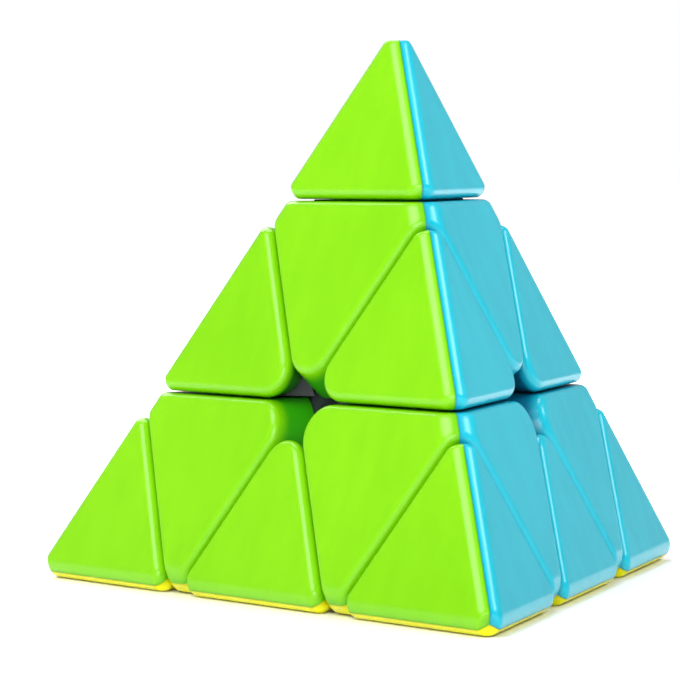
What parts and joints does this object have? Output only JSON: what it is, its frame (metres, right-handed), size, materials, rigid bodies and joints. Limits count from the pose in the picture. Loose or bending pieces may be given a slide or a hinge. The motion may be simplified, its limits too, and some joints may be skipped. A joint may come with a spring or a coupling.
{
  "type": "pyramid twisty puzzle",
  "caption": "Pyramid-shaped twisty puzzle with glossy coloured faces, whose corner layers and tips turn about the axes of a hidden core.",
  "frame": {"origin": "middle of the core, where the four turning axes meet, which is also the centre of the tetrahedron", "axes": "+Z to the top vertex, -Z square to the bottom face, -Y towards the front vertex, +X to the right vertex's side"},
  "size_m": [0.098, 0.0853, 0.0803],
  "materials": {
    "green": "gloss",
    "blue": "gloss",
    "yellow": "gloss",
    "red": "gloss",
    "grey": "satin",
    "screw_steel": "satin",
    "spring_steel": "bright",
    "washer_steel": "satin"
  },
  "bodies": {
    "core": {"core": "grey", "arm_screws": "screw_steel", "arm_springs": "spring_steel", "arm_washers": "washer_steel"},
    "top_centre": {"top_centre_red": "red", "top_centre_green": "green", "top_centre_blue": "blue", "top_centre_hub": "grey"},
    "top_tip": {"top_tip_red": "red", "top_tip_green": "green", "top_tip_blue": "blue", "top_tip_stem": "grey"},
    "front_centre": {"front_centre_yellow": "yellow", "front_centre_green": "green", "front_centre_blue": "blue", "front_centre_hub": "grey"},
    "front_tip": {"front_tip_yellow": "yellow", "front_tip_green": "green", "front_tip_blue": "blue", "front_tip_stem": "grey"},
    "right_centre": {"right_centre_yellow": "yellow", "right_centre_red": "red", "right_centre_blue": "blue", "right_centre_hub": "grey"},
    "right_tip": {"right_tip_yellow": "yellow", "right_tip_red": "red", "right_tip_blue": "blue", "right_tip_stem": "grey"},
    "left_centre": {"left_centre_yellow": "yellow", "left_centre_red": "red", "left_centre_green": "green", "left_centre_hub": "grey"},
    "left_tip": {"left_tip_yellow": "yellow", "left_tip_red": "red", "left_tip_green": "green", "left_tip_stem": "grey"},
    "top_front_edge": {"top_front_edge_green": "green", "top_front_edge_blue": "blue", "top_front_edge_foot": "grey"},
    "top_right_edge": {"top_right_edge_red": "red", "top_right_edge_blue": "blue", "top_right_edge_foot": "grey"},
    "top_left_edge": {"top_left_edge_red": "red", "top_left_edge_green": "green", "top_left_edge_foot": "grey"},
    "front_right_edge": {"front_right_edge_yellow": "yellow", "front_right_edge_blue": "blue", "front_right_edge_foot": "grey"},
    "right_left_edge": {"right_left_edge_yellow": "yellow", "right_left_edge_red": "red", "right_left_edge_foot": "grey"},
    "left_front_edge": {"left_front_edge_yellow": "yellow", "left_front_edge_green": "green", "left_front_edge_foot": "grey"}
  },
  "joints": [
    {"name": "top_layer_turn", "type": "hinge", "parent": "core", "child": "top_centre", "pos_m": [0, 0, 0], "axis": [0, 0, 1], "range_deg": [-240, 120]},
    {"name": "front_layer_turn", "type": "hinge", "parent": "core", "child": "front_centre", "pos_m": [0, 0, 0], "axis": [0, -0.9428, -0.3333], "range_deg": [-240, 120]},
    {"name": "right_layer_turn", "type": "hinge", "parent": "core", "child": "right_centre", "pos_m": [0, 0, 0], "axis": [0.8165, 0.4714, -0.3333], "range_deg": [-240, 120]},
    {"name": "left_layer_turn", "type": "hinge", "parent": "core", "child": "left_centre", "pos_m": [0, 0, 0], "axis": [-0.8165, 0.4714, -0.3333], "range_deg": [-240, 120]},
    {"name": "top_tip_turn", "type": "hinge", "parent": "top_centre", "child": "top_tip", "pos_m": [0, 0, 0], "axis": [0, 0, 1], "continuous": true},
    {"name": "front_tip_turn", "type": "hinge", "parent": "front_centre", "child": "front_tip", "pos_m": [0, 0, 0], "axis": [0, -0.9428, -0.3333], "continuous": true},
    {"name": "right_tip_turn", "type": "hinge", "parent": "right_centre", "child": "right_tip", "pos_m": [0, 0, 0], "axis": [0.8165, 0.4714, -0.3333], "continuous": true},
    {"name": "left_tip_turn", "type": "hinge", "parent": "left_centre", "child": "left_tip", "pos_m": [0, 0, 0], "axis": [-0.8165, 0.4714, -0.3333], "continuous": true},
    {"name": "top_front_edge_turn", "type": "hinge", "parent": "top_centre", "child": "top_front_edge", "pos_m": [0, 0, 0], "axis": [0, -0.9428, -0.3333], "range_deg": [-240, 120]},
    {"name": "top_right_edge_turn", "type": "hinge", "parent": "top_centre", "child": "top_right_edge", "pos_m": [0, 0, 0], "axis": [0.8165, 0.4714, -0.3333], "range_deg": [-240, 120]},
    {"name": "top_left_edge_turn", "type": "hinge", "parent": "top_centre", "child": "top_left_edge", "pos_m": [0, 0, 0], "axis": [-0.8165, 0.4714, -0.3333], "range_deg": [-240, 120]},
    {"name": "front_right_edge_turn", "type": "hinge", "parent": "front_centre", "child": "front_right_edge", "pos_m": [0, 0, 0], "axis": [0.8165, 0.4714, -0.3333], "range_deg": [-240, 120]},
    {"name": "right_left_edge_turn", "type": "hinge", "parent": "right_centre", "child": "right_left_edge", "pos_m": [0, 0, 0], "axis": [-0.8165, 0.4714, -0.3333], "range_deg": [-240, 120]},
    {"name": "left_front_edge_turn", "type": "hinge", "parent": "left_centre", "child": "left_front_edge", "pos_m": [0, 0, 0], "axis": [0, -0.9428, -0.3333], "range_deg": [-240, 120]}
  ],
  "couplings": [
    {"joint": "top_front_edge_turn", "follows": "front_layer_turn", "ratio": 1},
    {"joint": "top_right_edge_turn", "follows": "right_layer_turn", "ratio": 1},
    {"joint": "top_left_edge_turn", "follows": "left_layer_turn", "ratio": 1},
    {"joint": "front_right_edge_turn", "follows": "right_layer_turn", "ratio": 1},
    {"joint": "right_left_edge_turn", "follows": "left_layer_turn", "ratio": 1},
    {"joint": "left_front_edge_turn", "follows": "front_layer_turn", "ratio": 1}
  ]
}
